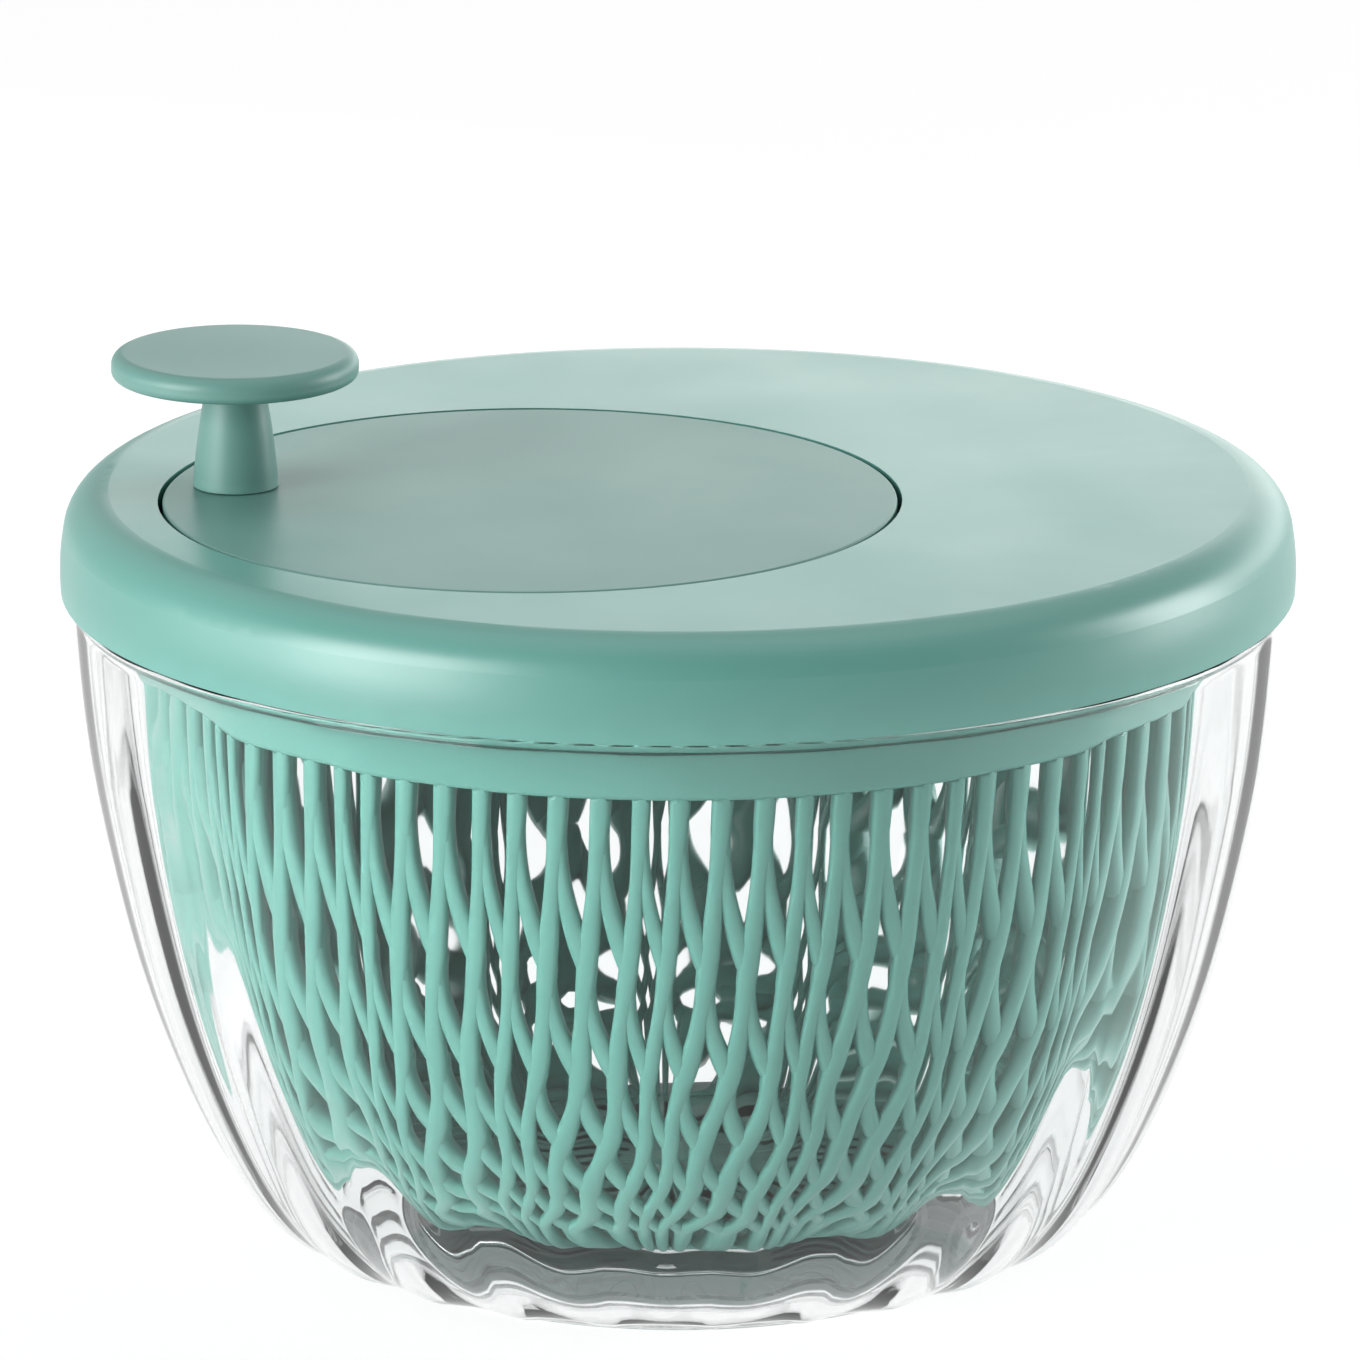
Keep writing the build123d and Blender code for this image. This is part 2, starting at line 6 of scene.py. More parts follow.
import bpy
import numpy as np
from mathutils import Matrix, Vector

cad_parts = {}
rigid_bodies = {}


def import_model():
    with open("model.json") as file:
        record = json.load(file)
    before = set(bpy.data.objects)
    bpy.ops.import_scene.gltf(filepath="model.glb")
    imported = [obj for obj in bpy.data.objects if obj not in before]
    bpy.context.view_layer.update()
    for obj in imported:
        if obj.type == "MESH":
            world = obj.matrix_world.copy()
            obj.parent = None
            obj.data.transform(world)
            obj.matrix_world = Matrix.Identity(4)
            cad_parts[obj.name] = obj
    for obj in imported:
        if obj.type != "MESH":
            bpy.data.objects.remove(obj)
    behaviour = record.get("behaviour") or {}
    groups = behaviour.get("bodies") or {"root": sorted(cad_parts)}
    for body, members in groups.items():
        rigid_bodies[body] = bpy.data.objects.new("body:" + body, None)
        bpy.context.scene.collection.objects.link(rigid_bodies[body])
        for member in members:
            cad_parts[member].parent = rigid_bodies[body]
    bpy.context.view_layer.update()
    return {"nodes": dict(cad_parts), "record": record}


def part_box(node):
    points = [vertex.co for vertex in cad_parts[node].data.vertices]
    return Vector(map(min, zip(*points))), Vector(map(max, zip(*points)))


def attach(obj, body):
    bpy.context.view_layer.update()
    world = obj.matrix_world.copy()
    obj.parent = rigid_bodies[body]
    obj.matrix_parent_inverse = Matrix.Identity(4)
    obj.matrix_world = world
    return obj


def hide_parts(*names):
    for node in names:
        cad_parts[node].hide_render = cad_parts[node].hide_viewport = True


for leftover in list(bpy.data.objects):
    bpy.data.objects.remove(leftover)

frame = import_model()
nodes = frame["nodes"]

MM = 0.001
scene = bpy.context.scene
scene.view_settings.view_transform = "Standard"

# ---- places taken from the frame, in metres ----
bowl_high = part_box("bowl")[1]
lid_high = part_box("lid_cover")[1]
ring_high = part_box("foot_ring")[1]

# ---- camera: a long lens from the front left, looking slightly down ----
CAMERA_TURN = radians(-20.0)
CAMERA_RISE = radians(15.05)
CAMERA_DISTANCE = 3.4
CAMERA_LENS = 426.9
SENSOR = 36.0
AIM = Vector((0.0004, -0.0001, lid_high.z - 0.0424))

right = Vector((cos(CAMERA_TURN), sin(CAMERA_TURN), 0))
away = Vector((-sin(CAMERA_TURN), cos(CAMERA_TURN), 0))
up = Vector((0, 0, 1))


def studio(across, back, height):
    """Return a point given across, back and up from the object, as seen from the camera."""
    return right * across + away * back + up * height


def add_camera():
    """Add the camera and make it the scene's own."""
    data = bpy.data.cameras.new("camera")
    data.lens = CAMERA_LENS
    data.sensor_width = SENSOR
    data.clip_end = 50
    camera = bpy.data.objects.new("camera", data)
    offset = studio(0, -cos(CAMERA_RISE), sin(CAMERA_RISE)) * CAMERA_DISTANCE
    camera.location = AIM + offset
    camera.rotation_euler = (-offset).to_track_quat("-Z", "Y").to_euler()
    scene.collection.objects.link(camera)
    scene.camera = camera


# ---- materials ----
def srgb(red, green, blue):
    """Return the linear colour, with alpha, of an 8-bit screen colour."""
    values = [channel / 255 for channel in (red, green, blue)]
    linear = [v / 12.92 if v <= 0.04045 else ((v + 0.055) / 1.055) ** 2.4 for v in values]
    return (*linear, 1.0)


def new_material(name):
    """Return a material with its node tree, its links and its shader."""
    material = bpy.data.materials.new(name)
    material.use_nodes = True
    tree = material.node_tree
    shader = tree.nodes["Principled BSDF"]
    return material, tree, shader


def node(tree, kind, **inputs):
    """Add a node and set its named inputs, where an underscore stands for a space."""
    made = tree.nodes.new(kind)
    for key, value in inputs.items():
        made.inputs[key.replace("_", " ")].default_value = value
    return made


def noise(tree, scale, detail=2.0, stretch=(1, 1, 1)):
    """Return the factor output of a noise over the object's own coordinates."""
    place = tree.nodes.new("ShaderNodeTexCoord")
    mapping = node(tree, "ShaderNodeMapping", Scale=stretch)
    texture = node(tree, "ShaderNodeTexNoise", Scale=scale, Detail=detail)
    tree.links.new(place.outputs["Object"], mapping.inputs["Vector"])
    tree.links.new(mapping.outputs["Vector"], texture.inputs["Vector"])
    return texture.outputs["Fac"]


def spread(tree, factor, low, high, start=0.3, end=0.7):
    """Map a factor from start..end to low..high."""
    ranged = node(tree, "ShaderNodeMapRange")
    for key, value in (("From Min", start), ("From Max", end), ("To Min", low), ("To Max", high)):
        ranged.inputs[key].default_value = value
    tree.links.new(factor, ranged.inputs["Value"])
    return ranged.outputs["Result"]


def mix(tree, factor, first, second):
    """Mix two colours, each a constant or a node's output."""
    blend = tree.nodes.new("ShaderNodeMix")
    blend.data_type = "RGBA"
    for index, value in ((0, factor), (6, first), (7, second)):
        if isinstance(value, bpy.types.NodeSocket):
            tree.links.new(value, blend.inputs[index])
        else:
            blend.inputs[index].default_value = value
    return blend.outputs[2]


def bump(tree, shader, height, strength, distance):
    """Add a bump to a shader, chained after any bump that it already has."""
    made = node(tree, "ShaderNodeBump", Strength=strength, Distance=distance)
    tree.links.new(height, made.inputs["Height"])
    if shader.inputs["Normal"].is_linked:
        tree.links.new(shader.inputs["Normal"].links[0].from_socket, made.inputs["Normal"])
    tree.links.new(made.outputs["Normal"], shader.inputs["Normal"])


WEAR_START, WEAR_END = 0.515, 0.56
WEAR_AMOUNT, WEAR_PALENESS = 0.25, 1.35
SMEAR = 0.025
SATIN_IOR = 1.5


def edge_wear(tree):
    """Return a factor that is 1 on the rubbed convex edges of a piece."""
    geometry = tree.nodes.new("ShaderNodeNewGeometry")
    return spread(tree, geometry.outputs["Pointiness"], 0.0, 1.0, WEAR_START, WEAR_END)


def satin_plastic(name, base, pale, roughness, gloss=0.5):
    """Moulded satin plastic: fine spark grain, slow tone drift, handling smears and pale edges."""
    material, tree, shader = new_material(name)
    tone = mix(tree, spread(tree, noise(tree, 9, 3), 0.0, 1.0), base, pale)
    worn = node(tree, "ShaderNodeMath")
    worn.operation = "MULTIPLY"
    worn.inputs[1].default_value = WEAR_AMOUNT
    tree.links.new(edge_wear(tree), worn.inputs[0])
    edge = [min(1.0, channel * WEAR_PALENESS) for channel in pale[:3]] + [1.0]
    tree.links.new(mix(tree, worn.outputs[0], tone, edge), shader.inputs["Base Color"])
    smear = spread(tree, noise(tree, 24, 5, (1, 1, 0.4)), roughness - SMEAR, roughness + SMEAR)
    tree.links.new(smear, shader.inputs["Roughness"])
    shader.inputs["IOR"].default_value = SATIN_IOR
    shader.inputs["Specular IOR Level"].default_value = gloss
    bump(tree, shader, noise(tree, 2600, 2), 0.12, 0.0001)
    bump(tree, shader, noise(tree, 38, 2), 0.05, 0.0004)
    return material


CLEAR_COLOUR = (0.965, 0.975, 0.975, 1.0)
CLEAR_IOR = 1.46
CLEAR_SPECULAR = (0.45, 0.45, 0.45, 1.0)
CLEAR_TINT, CLEAR_DENSITY = (0.5, 0.53, 0.54, 1.0), 5.0


def clear_plastic(name):
    """Clear polished plastic, with faint ripples from the mould and a few rubbed patches."""
    material, tree, shader = new_material(name)
    shader.inputs["Base Color"].default_value = CLEAR_COLOUR
    shader.inputs["Transmission Weight"].default_value = 1.0
    shader.inputs["IOR"].default_value = CLEAR_IOR
    shader.inputs["Specular Tint"].default_value = CLEAR_SPECULAR
    tree.links.new(spread(tree, noise(tree, 30, 4), 0.0, 0.035), shader.inputs["Roughness"])
    bump(tree, shader, noise(tree, 26, 2, (1, 1, 0.5)), 0.06, 0.0006)
    tint = tree.nodes.new("ShaderNodeVolumeAbsorption")
    tint.inputs["Color"].default_value = CLEAR_TINT
    tint.inputs["Density"].default_value = CLEAR_DENSITY
    tree.links.new(tint.outputs[0], tree.nodes["Material Output"].inputs["Volume"])
    return material


def soft_rubber(name, colour):
    """Grey sealing rubber, dull and slightly dusty."""
    material, tree, shader = new_material(name)
    dust = [0.5 + channel / 2 for channel in colour[:3]] + [1.0]
    tree.links.new(mix(tree, spread(tree, noise(tree, 180, 4), 0.0, 0.3), colour, dust),
                   shader.inputs["Base Color"])
    tree.links.new(spread(tree, noise(tree, 60, 3), 0.5, 0.7), shader.inputs["Roughness"])
    bump(tree, shader, noise(tree, 1500, 2), 0.2, 0.0001)
    return material


def turned_steel(name, colour, roughness):
    """Bright steel with fine turning marks and slight staining."""
    material, tree, shader = new_material(name)
    stain = [channel * 0.8 for channel in colour[:3]] + [1.0]
    tree.links.new(mix(tree, spread(tree, noise(tree, 90, 3), 0.0, 0.6), colour, stain),
                   shader.inputs["Base Color"])
    shader.inputs["Metallic"].default_value = 1.0
    tree.links.new(spread(tree, noise(tree, 400, 3, (1, 1, 12)), roughness - 0.08, roughness + 0.08),
                   shader.inputs["Roughness"])
    bump(tree, shader, noise(tree, 500, 2, (0.2, 0.2, 14)), 0.1, 0.0001)
    return material


TEAL = srgb(88, 147, 137)
TEAL_PALE = srgb(93, 152, 142)
DISC_TEAL = srgb(98, 143, 135)
DISC_PALE = srgb(102, 147, 139)
BASKET_TEAL = srgb(91, 149, 138)
BASKET_PALE = srgb(96, 154, 143)

materials = {
    "teal_shell": satin_plastic("teal_shell", TEAL, TEAL_PALE, 0.36, 0.75),
    "teal_disc": satin_plastic("teal_disc", DISC_TEAL, DISC_PALE, 0.42, 0.4),
    "teal_basket": satin_plastic("teal_basket", BASKET_TEAL, BASKET_PALE, 0.3),
    "clear_bowl": clear_plastic("clear_bowl"),
    "acetal": satin_plastic("acetal", srgb(226, 228, 224), srgb(236, 237, 233), 0.38),
    "soft_seal": soft_rubber("soft_seal", srgb(176, 184, 184)),
    "steel": turned_steel("steel", srgb(196, 197, 199), 0.3),
    "zinc_screw": turned_steel("zinc_screw", srgb(186, 189, 194), 0.36),
}

slots = {part["node"]: part["material_slot"] for part in frame["record"]["subparts"]}
for name, part in nodes.items():
    part.data.materials.clear()
    part.data.materials.append(materials[slots[name]])


# ---- mesh building ----
def curve_through(points, count):
    """Return evenly spread points on a smooth curve through some points."""
    known = np.array(points, float)
    steps = np.concatenate([[0], np.cumsum(np.linalg.norm(np.diff(known, axis=0), axis=1))])
    size = len(known)
    system = np.zeros((size, size))
    target = np.zeros((size, known.shape[1]))
    system[0, 0] = system[-1, -1] = 1
    gaps = np.diff(steps)
    for i in range(1, size - 1):
        system[i, i - 1 : i + 2] = gaps[i - 1], 2 * (gaps[i - 1] + gaps[i]), gaps[i]
        target[i] = 6 * ((known[i + 1] - known[i]) / gaps[i] - (known[i] - known[i - 1]) / gaps[i - 1])
    bend = np.linalg.solve(system, target)
    wanted = np.linspace(0, steps[-1], count)
    span = np.clip(np.searchsorted(steps, wanted, side="right") - 1, 0, size - 2)
    gap = gaps[span][:, None]
    ahead = (steps[span + 1] - wanted)[:, None]
    behind = (wanted - steps[span])[:, None]
    first, last = known[span], known[span + 1]
    return (bend[span] * ahead**3 / (6 * gap) + bend[span + 1] * behind**3 / (6 * gap)
            + (first / gap - bend[span] * gap / 6) * ahead
            + (last / gap - bend[span + 1] * gap / 6) * behind)


def left_normals(outline):
    """Return the unit normals on the left of an outline, looking along it."""
    slope = np.gradient(outline, axis=0)
    slope /= np.linalg.norm(slope, axis=1)[:, None]
    return np.stack([-slope[:, 1], slope[:, 0]], axis=1)


def make_object(name, vertices, faces, material):
    """Add a smooth mesh object from arrays of vertices in metres and faces."""
    mesh = bpy.data.meshes.new(name)
    mesh.from_pydata([tuple(v) for v in vertices], [], [tuple(f) for f in faces])
    mesh.materials.append(material)
    mesh.polygons.foreach_set("use_smooth", [True] * len(mesh.polygons))
    mesh.update()
    made = bpy.data.objects.new(name, mesh)
    scene.collection.objects.link(made)
    return made


def lathe(rings, closed=False):
    """Return the vertices and faces of a solid turned from rings, each an array of points.

    The rings go round the section. When it isn't closed, the first and last ring are capped by a
    fan to their own centre on the axis.
    """
    count = len(rings[0])
    vertices = [point for ring in rings for point in ring]
    faces = []
    last = len(rings) if closed else len(rings) - 1
    for i in range(last):
        this, following = i * count, (i + 1) % len(rings) * count
        for j in range(count):
            k = (j + 1) % count
            faces.append((this + j, this + k, following + k, following + j))
    if not closed:
        for start, flip in ((0, True), ((len(rings) - 1) * count, False)):
            centre = len(vertices)
            vertices.append((0, 0, vertices[start][2]))
            for j in range(count):
                k = (j + 1) % count
                pair = (start + k, start + j) if flip else (start + j, start + k)
                faces.append((*pair, centre))
    return np.array(vertices, float), faces


def join(parts):
    """Join several lists of vertices and faces into one."""
    vertices, faces, start = [], [], 0
    for part_vertices, part_faces in parts:
        vertices.append(part_vertices)
        faces += [tuple(index + start for index in face) for face in part_faces]
        start += len(part_vertices)
    return np.concatenate(vertices), faces


# ---- bowl: thick clear shell with shallow flutes that deepen towards the base ----
RIM_WALL = 3.2
BASE_WALL = 4.4
FLUTES = 24
FLUTE_TOP = 112.0
FLUTE_DEPTH = 1.0
FLUTE_CURVE = 30.0
FLUTE_SOFTNESS = 1.2
BOWL_BASE_RADIUS = 66.0
BOWL_SIDE = [(BOWL_BASE_RADIUS, 1.0), (81.7, 6.0), (91.1, 14.0), (100.1, 28.0), (107.6, 45.0),
             (114.4, 65.0), (120.5, 90.0), (125.0, 115.0), (127.5, 141.4)]
SIDE_STEPS = 90
FLOOR_TOP = 4.5
FLOOR_RADII = (56.0, 40.0)
BASE_LIFT = 1.0
FOOT_WIDTH = 8.0
BASE_MIDDLE = 20.0
FLUTE_START = 5.0
BEAD_MIDDLE = 143.2
RIM_INNER = 124.2
POST_RADIUS, POST_TOP = 4.0, 15.1
POST_EDGE, POST_FILLET = 0.7, 2.2
ROUND_STEPS = 480
ROUND_OVER_STEPS = 9


def flute_depths(angles, radius, height):
    """Return how deep the outside is pressed in at each angle of one height.

    A flute is cut as by a round bar that leaves the wall at the top, so its end is an arch.
    """
    sunk = FLUTE_DEPTH * max((FLUTE_TOP - height) / FLUTE_TOP, -0.2)
    across = ((angles * FLUTES / (2 * pi)) % 1.0 - 0.5) * 2 * pi * radius / FLUTES
    excess = sunk - across**2 / (2 * FLUTE_CURVE)
    return (excess + np.sqrt(excess**2 + FLUTE_SOFTNESS**2)) / 2


def build_bowl():
    """Build the bowl as one closed solid, from its base's centre up, over the rim and back down."""
    angles = np.linspace(0, 2 * pi, ROUND_STEPS, endpoint=False)
    outer = curve_through(BOWL_SIDE, SIDE_STEPS)
    inward = left_normals(outer)
    walls = BASE_WALL + (RIM_WALL - BASE_WALL) * np.minimum(outer[:, 1] / FLUTE_TOP, 1)
    inner = outer + walls[:, None] * inward
    rings = []

    def ring(radius, height, depth=0.0, normal=(0, 0)):
        """Add one ring, pressed in by a depth along the wall's inward normal."""
        radii = radius + depth * normal[0]
        heights = height + depth * normal[1]
        rings.append(np.stack([radii * np.cos(angles), radii * np.sin(angles),
                               heights * np.ones_like(angles)], axis=1) * MM)

    foot_outer, foot_top = ring_high.x / MM, ring_high.z / MM
    foot_inner = foot_outer - FOOT_WIDTH
    for radius, height in ((BASE_MIDDLE, BASE_LIFT), (foot_inner, BASE_LIFT),
                           (foot_inner, foot_top), (foot_outer, foot_top),
                           (foot_outer, BASE_LIFT)):
        ring(radius, height)
    for (radius, height), normal in zip(outer, inward):
        start = min((radius - BOWL_BASE_RADIUS) / FLUTE_START, 1)
        ring(radius, height, start * flute_depths(angles, radius, height), normal)
    side = outer[-1][0]
    bead = bowl_high.x / MM - side
    for turn in np.linspace(-pi / 2, pi / 2, ROUND_OVER_STEPS):
        ring(side + bead * cos(turn), BEAD_MIDDLE + bead * sin(turn))
    half, rim = (side - RIM_INNER) / 2, bowl_high.z / MM
    for turn in np.linspace(0, pi, ROUND_OVER_STEPS):
        ring(RIM_INNER + half + half * cos(turn), rim - half + half * sin(turn))
    for radius, height in inner[::-1]:
        if height > FLOOR_TOP:
            ring(radius, height)
    for radius in FLOOR_RADII:
        ring(radius, FLOOR_TOP)
    for turn in np.linspace(0, pi / 2, ROUND_OVER_STEPS):
        ring(POST_RADIUS + POST_FILLET * (1 - sin(turn)), FLOOR_TOP + POST_FILLET * (1 - cos(turn)))
    for turn in np.linspace(0, pi / 2, ROUND_OVER_STEPS):
        ring(POST_RADIUS - POST_EDGE * (1 - cos(turn)), POST_TOP - POST_EDGE * (1 - sin(turn)))
    vertices, faces = lathe(rings)
    made = make_object("bowl_clear", vertices, faces, materials["clear_bowl"])
    made.visible_shadow = False
    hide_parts("bowl")
    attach(made, "bowl")
    return made


# ---- basket: two layers of twisted strands between a rim band and a slotted floor ----
STRANDS = 80
STRAND_STEPS = 200
STRAND_LEAD = 4.0
FIRST_ROW = 35.5
ROW_RATIO = 0.72
LAST_ROW = 6
TWIST = radians(-1.95)
TWIST_DELAY = radians(0.5)
SWAY = radians(0.6)
SWAY_ROWS = 2.6
SWAY_PHASE = 17 / STRANDS
FIRST_ANGLE = atan2(-away.y, -away.x) + radians(0.45)
BASKET_SIDE = [(107.4, 132.0), (106.4, 112.0), (103.6, 88.0), (98.0, 64.0), (90.0, 45.0),
               (81.0, 32.0), (71.0, 23.0), (60.0, 17.8), (48.0, 16.0)]
CROSSING_DELAY, CROSSING_START, CROSSING_POWER = 0.08, 0.1, 1.5
STRAND_WIDTH = 3.8
RIB_WIDTH = 3.9
LARGEST_SHARE = 0.55
STRAND_THICKNESS = 2.6
RIB_THICKNESS = 3.4
RIB_INSET = 0.6
SECTION_POWER = 0.75
FLOOR_SLOTS = 48
FLOOR_SLOT_STARTS = (18.0, 30.0)
FLOOR_SLOT_END = 44.0
FLOOR_SLOT_WIDTH = 2.2
FLOOR_SLOT_HEIGHT = 16.2
FLOOR_SLOT_DEPTH = 6.0
FLOOR_SLOT_SIDES = 12
STRAND_SIDES, RIB_SIDES = 12, 10
WIDTH_SWELL = 0.1
SWAY_POWER = 1.5
DELAY_ROWS = 0.5
BAND_OUTLINE = [
    (106.6, 127.9), (107.4, 127.3), (108.4, 127.6), (109.0, 128.6), (109.0, 140.9),
    (109.6, 141.3), (111.5, 141.4), (112.0, 141.9), (112.0, 143.1), (111.6, 143.5),
    (106.9, 143.5), (106.5, 143.1)]
FLOOR_OUTLINE = [
    (6.6, 8.0), (9.2, 8.0), (9.5, 8.4), (9.5, 13.0), (9.9, 13.4), (11.2, 13.4), (11.5, 13.7),
    (11.5, 15.0), (50.0, 15.0), (56.0, 15.6), (57.6, 16.6), (56.6, 17.9), (50.0, 17.5),
    (10.1, 17.5), (9.5, 18.1), (9.5, 19.6), (9.1, 20.0), (0.5, 20.0), (0.5, 17.8), (6.2, 17.8),
    (6.6, 17.4)]


def strand(path, normals, widths, thickness, sides):
    """Return one closed strand with a rounded flat section along a path of points in millimetres."""
    path, normals = np.array(path), np.array(normals)
    forward = np.gradient(path, axis=0)
    forward /= np.linalg.norm(forward, axis=1)[:, None]
    side = np.cross(forward, normals)
    side /= np.linalg.norm(side, axis=1)[:, None]
    turns = np.linspace(0, 2 * pi, sides, endpoint=False)
    wide = np.sign(np.cos(turns)) * np.abs(np.cos(turns)) ** SECTION_POWER
    thick = np.sign(np.sin(turns)) * np.abs(np.sin(turns)) ** SECTION_POWER
    rings = []
    for point, across, outward, width in zip(path, side, normals, widths):
        ring = (point[None] + wide[:, None] * across[None] * width / 2
                + thick[:, None] * outward[None] * thickness / 2)
        rings.append(ring)
    count = len(rings)
    vertices = np.concatenate(rings) * MM
    faces = []
    for i in range(count - 1):
        for j in range(sides):
            k = (j + 1) % sides
            faces.append((i * sides + j, i * sides + k, (i + 1) * sides + k, (i + 1) * sides + j))
    faces.append(tuple(range(sides - 1, -1, -1)))
    faces.append(tuple(range((count - 1) * sides, count * sides)))
    return vertices, faces


def strand_layer(name, crossing, inset, width, thickness, sides):
    """Build one layer of strands that follow the basket's side.

    Both layers turn with the side's rows, which get shorter towards the floor. A rib of the second
    layer runs behind a strand of the first and crosses to the next strand at the end of each row.
    Lower down all of them sway together, each strand a little after its neighbour.
    """
    outline = curve_through(BASKET_SIDE, STRAND_STEPS)
    lengths = np.concatenate([[0], np.cumsum(np.linalg.norm(np.diff(outline, axis=0), axis=1))])
    share = 1 - (1 - ROW_RATIO) * np.maximum(lengths - STRAND_LEAD, 0) / FIRST_ROW
    rows = np.log(np.maximum(share, ROW_RATIO**LAST_ROW)) / log(ROW_RATIO)
    normal = left_normals(outline)
    radius = outline[:, 0] - inset * normal[:, 0]
    height = outline[:, 1] - inset * normal[:, 1]
    pitch = 2 * pi / STRANDS
    swell = 1 + WIDTH_SWELL * np.cos(2 * pi * rows)
    widths = np.minimum(width, LARGEST_SHARE * pitch * radius) * swell
    twist = TWIST * rows + TWIST_DELAY * (1 - np.exp(-rows / DELAY_ROWS))
    late = rows - CROSSING_DELAY
    step = np.clip((late % 1 - CROSSING_START) / (1 - CROSSING_START), 0, 1)
    crossed = np.maximum(np.floor(late) + step ** CROSSING_POWER, 0)
    parts = []
    for index in range(STRANDS):
        place = index + crossing * crossed
        phase = 2 * pi * (rows / SWAY_ROWS - SWAY_PHASE * place)
        sway = SWAY * np.minimum(rows / SWAY_ROWS, 1) ** SWAY_POWER * np.sin(phase)
        angle = FIRST_ANGLE + pitch * place + twist + sway
        around = np.stack([np.cos(angle), np.sin(angle)], axis=1)
        path = np.column_stack([radius[:, None] * around, height])
        outward = np.column_stack([normal[:, :1] * around, normal[:, 1]])
        parts.append(strand(path, outward, widths, thickness, sides))
    vertices, faces = join(parts)
    return make_object(name, vertices, faces, materials["teal_basket"])


def revolved(name, outline, material, steps=264):
    """Build a closed solid turned from a closed outline of (radius, height) in millimetres."""
    angles = np.linspace(0, 2 * pi, steps, endpoint=False)
    rings = [np.stack([radius * np.cos(angles), radius * np.sin(angles),
                       height * np.ones_like(angles)], axis=1) * MM for radius, height in outline]
    vertices, faces = lathe(rings, closed=True)
    return make_object(name, vertices, faces, material)


def combine(base, others, operation="UNION"):
    """Join other closed meshes into a base mesh, or cut them out of it, and remove them."""
    for other in others:
        modifier = base.modifiers.new("combine", "BOOLEAN")
        modifier.operation = operation
        modifier.solver = "MANIFOLD"
        modifier.object = other
        bpy.context.view_layer.update()
        graph = bpy.context.evaluated_depsgraph_get()
        mesh = bpy.data.meshes.new_from_object(base.evaluated_get(graph))
        base.modifiers.clear()
        base.data = mesh
        bpy.data.objects.remove(other)
    base.data.polygons.foreach_set("use_smooth", [True] * len(base.data.polygons))
    return base


def floor_slots():
    """Return the bars that cut the floor's drain slots: long ones with short ones between them."""
    bars = []
    for index in range(FLOOR_SLOTS):
        angle = 2 * pi * index / FLOOR_SLOTS
        start = FLOOR_SLOT_STARTS[index % 2]
        path = [(radius * cos(angle), radius * sin(angle), FLOOR_SLOT_HEIGHT)
                for radius in np.linspace(start, FLOOR_SLOT_END, 4)]
        bars.append(strand(path, [up] * len(path), [FLOOR_SLOT_WIDTH] * len(path),
                           FLOOR_SLOT_DEPTH, FLOOR_SLOT_SIDES))
    vertices, faces = join(bars)
    return make_object("floor_slots", vertices, faces, materials["teal_basket"])


def build_basket():
    """Build the basket from its band, its two strand layers, its floor and its hub."""
    band = revolved("basket_slatted", BAND_OUTLINE, materials["teal_basket"])
    outer = strand_layer("strands_outer", 0, 0.0, STRAND_WIDTH, STRAND_THICKNESS, STRAND_SIDES)
    inner = strand_layer("strands_inner", 1, RIB_INSET, RIB_WIDTH, RIB_THICKNESS, RIB_SIDES)
    floor = revolved("basket_floor", FLOOR_OUTLINE, materials["teal_basket"])
    combine(floor, [floor_slots()], "DIFFERENCE")
    made = combine(band, [outer, inner, floor])
    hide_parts("basket", "drain_plate", "basket_hub")
    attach(made, "basket")
    return made


# ---- studio ----
WORLD_FRONT, WORLD_BACK = 0.2, 0.85
WORLD_RISE = 0.35
WORLD_START, WORLD_END = -0.45, 0.85
FLOOR_HALF = 4.0
FLOOR_GREY = 0.2
FLOOR_GLOW = 0.84
FLOOR_ROUGHNESS = 0.8
LIGHT_AIM = Vector((0, 0, 0.1))


def add_area(name, place, size, power):
    """Add a rectangular soft light that faces the object, with its power in watts."""
    data = bpy.data.lights.new(name, "AREA")
    data.shape = "RECTANGLE"
    data.size, data.size_y = size
    data.energy = power
    light = bpy.data.objects.new(name, data)
    light.location = place
    light.rotation_euler = (LIGHT_AIM - place).to_track_quat("-Z", "Y").to_euler()
    scene.collection.objects.link(light)
    return light


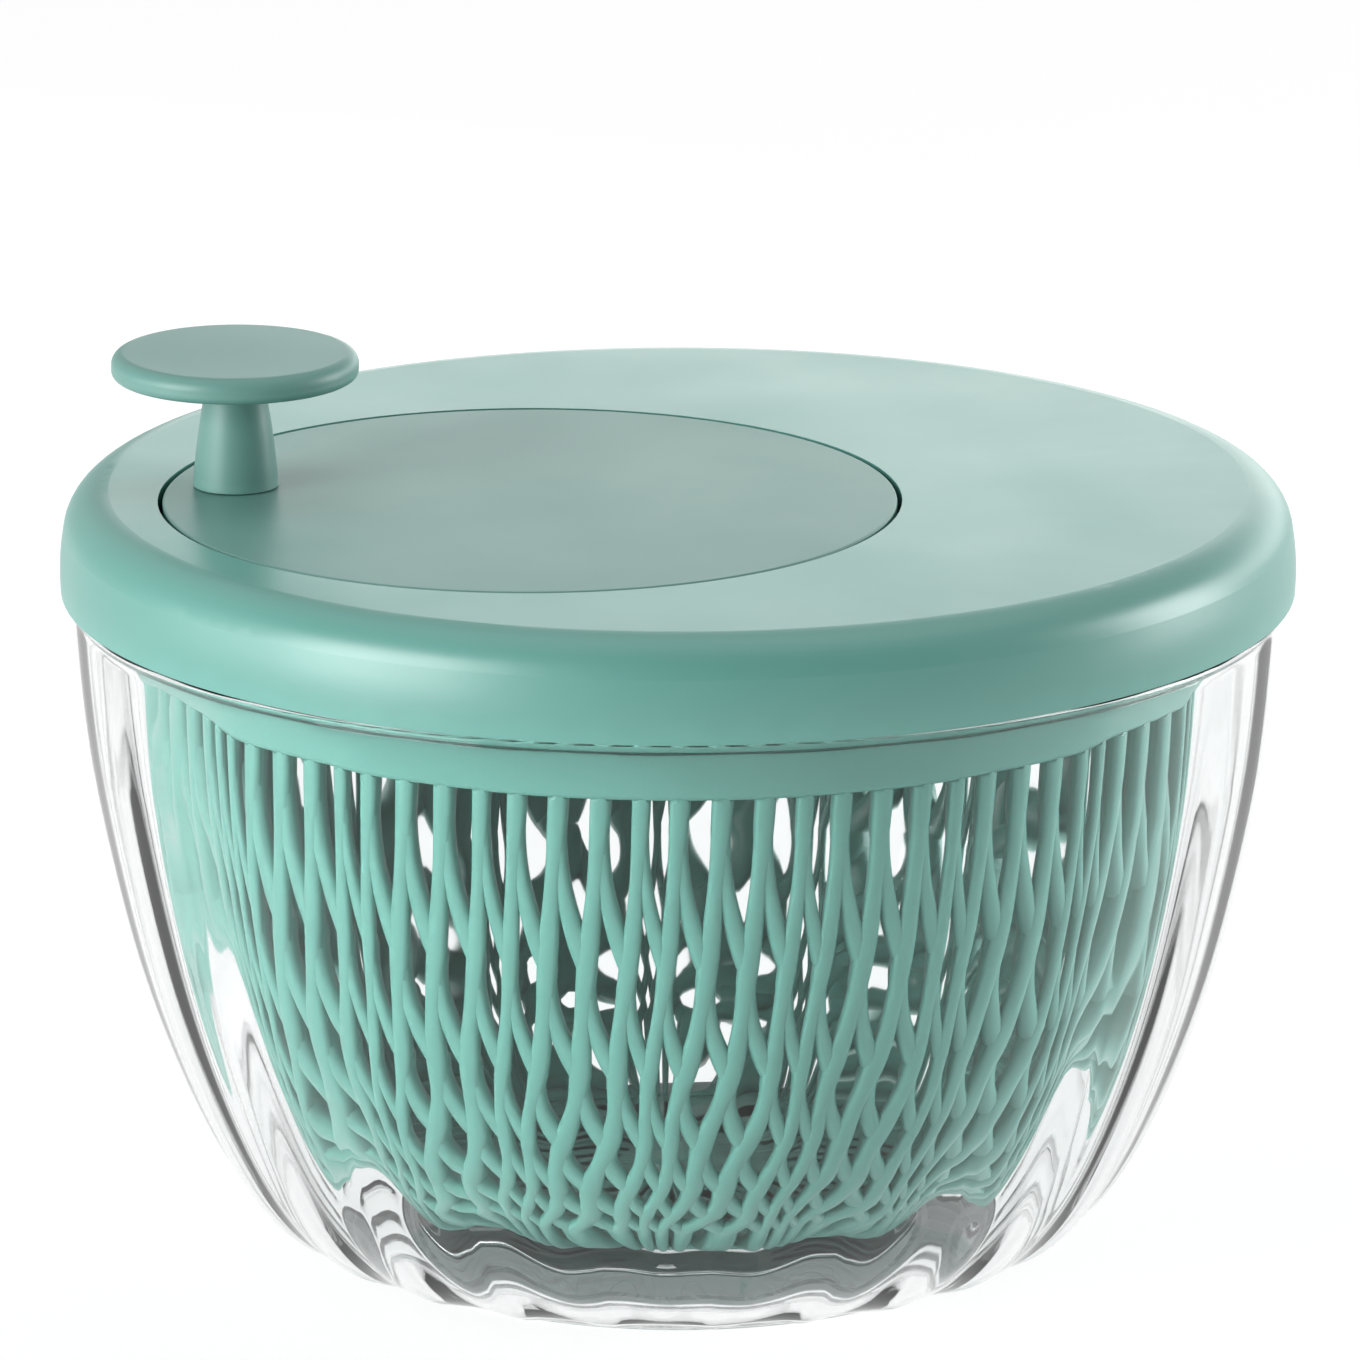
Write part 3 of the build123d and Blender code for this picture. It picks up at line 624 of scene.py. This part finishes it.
def add_world():
    """Add a pale surround: white behind and above, greyer on the camera's side."""
    world = bpy.data.worlds.new("studio")
    scene.world = world
    world.use_nodes = True
    tree = world.node_tree
    tree.nodes.clear()
    output = tree.nodes.new("ShaderNodeOutputWorld")
    place = tree.nodes.new("ShaderNodeTexCoord")
    facing = node(tree, "ShaderNodeVectorMath")
    facing.operation = "DOT_PRODUCT"
    facing.inputs[1].default_value = away + up * WORLD_RISE
    tree.links.new(place.outputs["Generated"], facing.inputs[0])
    shade = spread(tree, facing.outputs["Value"], WORLD_FRONT, WORLD_BACK, WORLD_START,
                   WORLD_END)
    surround = tree.nodes.new("ShaderNodeBackground")
    tree.links.new(shade, surround.inputs["Strength"])
    plain = tree.nodes.new("ShaderNodeBackground")
    path = tree.nodes.new("ShaderNodeLightPath")
    choice = tree.nodes.new("ShaderNodeMixShader")
    tree.links.new(path.outputs["Is Camera Ray"], choice.inputs[0])
    tree.links.new(surround.outputs[0], choice.inputs[1])
    tree.links.new(plain.outputs[0], choice.inputs[2])
    tree.links.new(choice.outputs[0], output.inputs["Surface"])


def add_floor():
    """Add the pale floor that the bowl stands on."""
    material, tree, shader = new_material("studio_floor")
    shader.inputs["Base Color"].default_value = (FLOOR_GREY, FLOOR_GREY, FLOOR_GREY, 1)
    shader.inputs["Roughness"].default_value = FLOOR_ROUGHNESS
    shader.inputs["Specular IOR Level"].default_value = 0.0
    shader.inputs["Emission Color"].default_value = (1, 1, 1, 1)
    shader.inputs["Emission Strength"].default_value = FLOOR_GLOW
    corners = [(-FLOOR_HALF, -FLOOR_HALF, 0), (FLOOR_HALF, -FLOOR_HALF, 0),
               (FLOOR_HALF, FLOOR_HALF, 0), (-FLOOR_HALF, FLOOR_HALF, 0)]
    made = make_object("studio_floor", corners, [(0, 1, 2, 3)], material)


add_camera()
add_world()
add_floor()
add_area("key_left", studio(-1.6, -1.15, 0.6), (1.2, 1.2), 42)
add_area("side_right", studio(1.9, 0.45, 0.5), (0.9, 1.2), 28)
add_area("overhead", studio(0.0, 0.2, 2.2), (2.4, 1.8), 7)
sheen_left = add_area("sheen_left", studio(-1.8, -0.45, 0.2), (1.7, 0.6), 13)
sheen_left.visible_camera = False
sheen_left.visible_diffuse = False
sheen_left.visible_transmission = False
back_card = add_area("back_card", studio(0.35, 0.8, 0.3), (1.2, 0.3), 2.4)
back_card.visible_camera = False
back_card.visible_transmission = False
build_bowl()
build_basket()
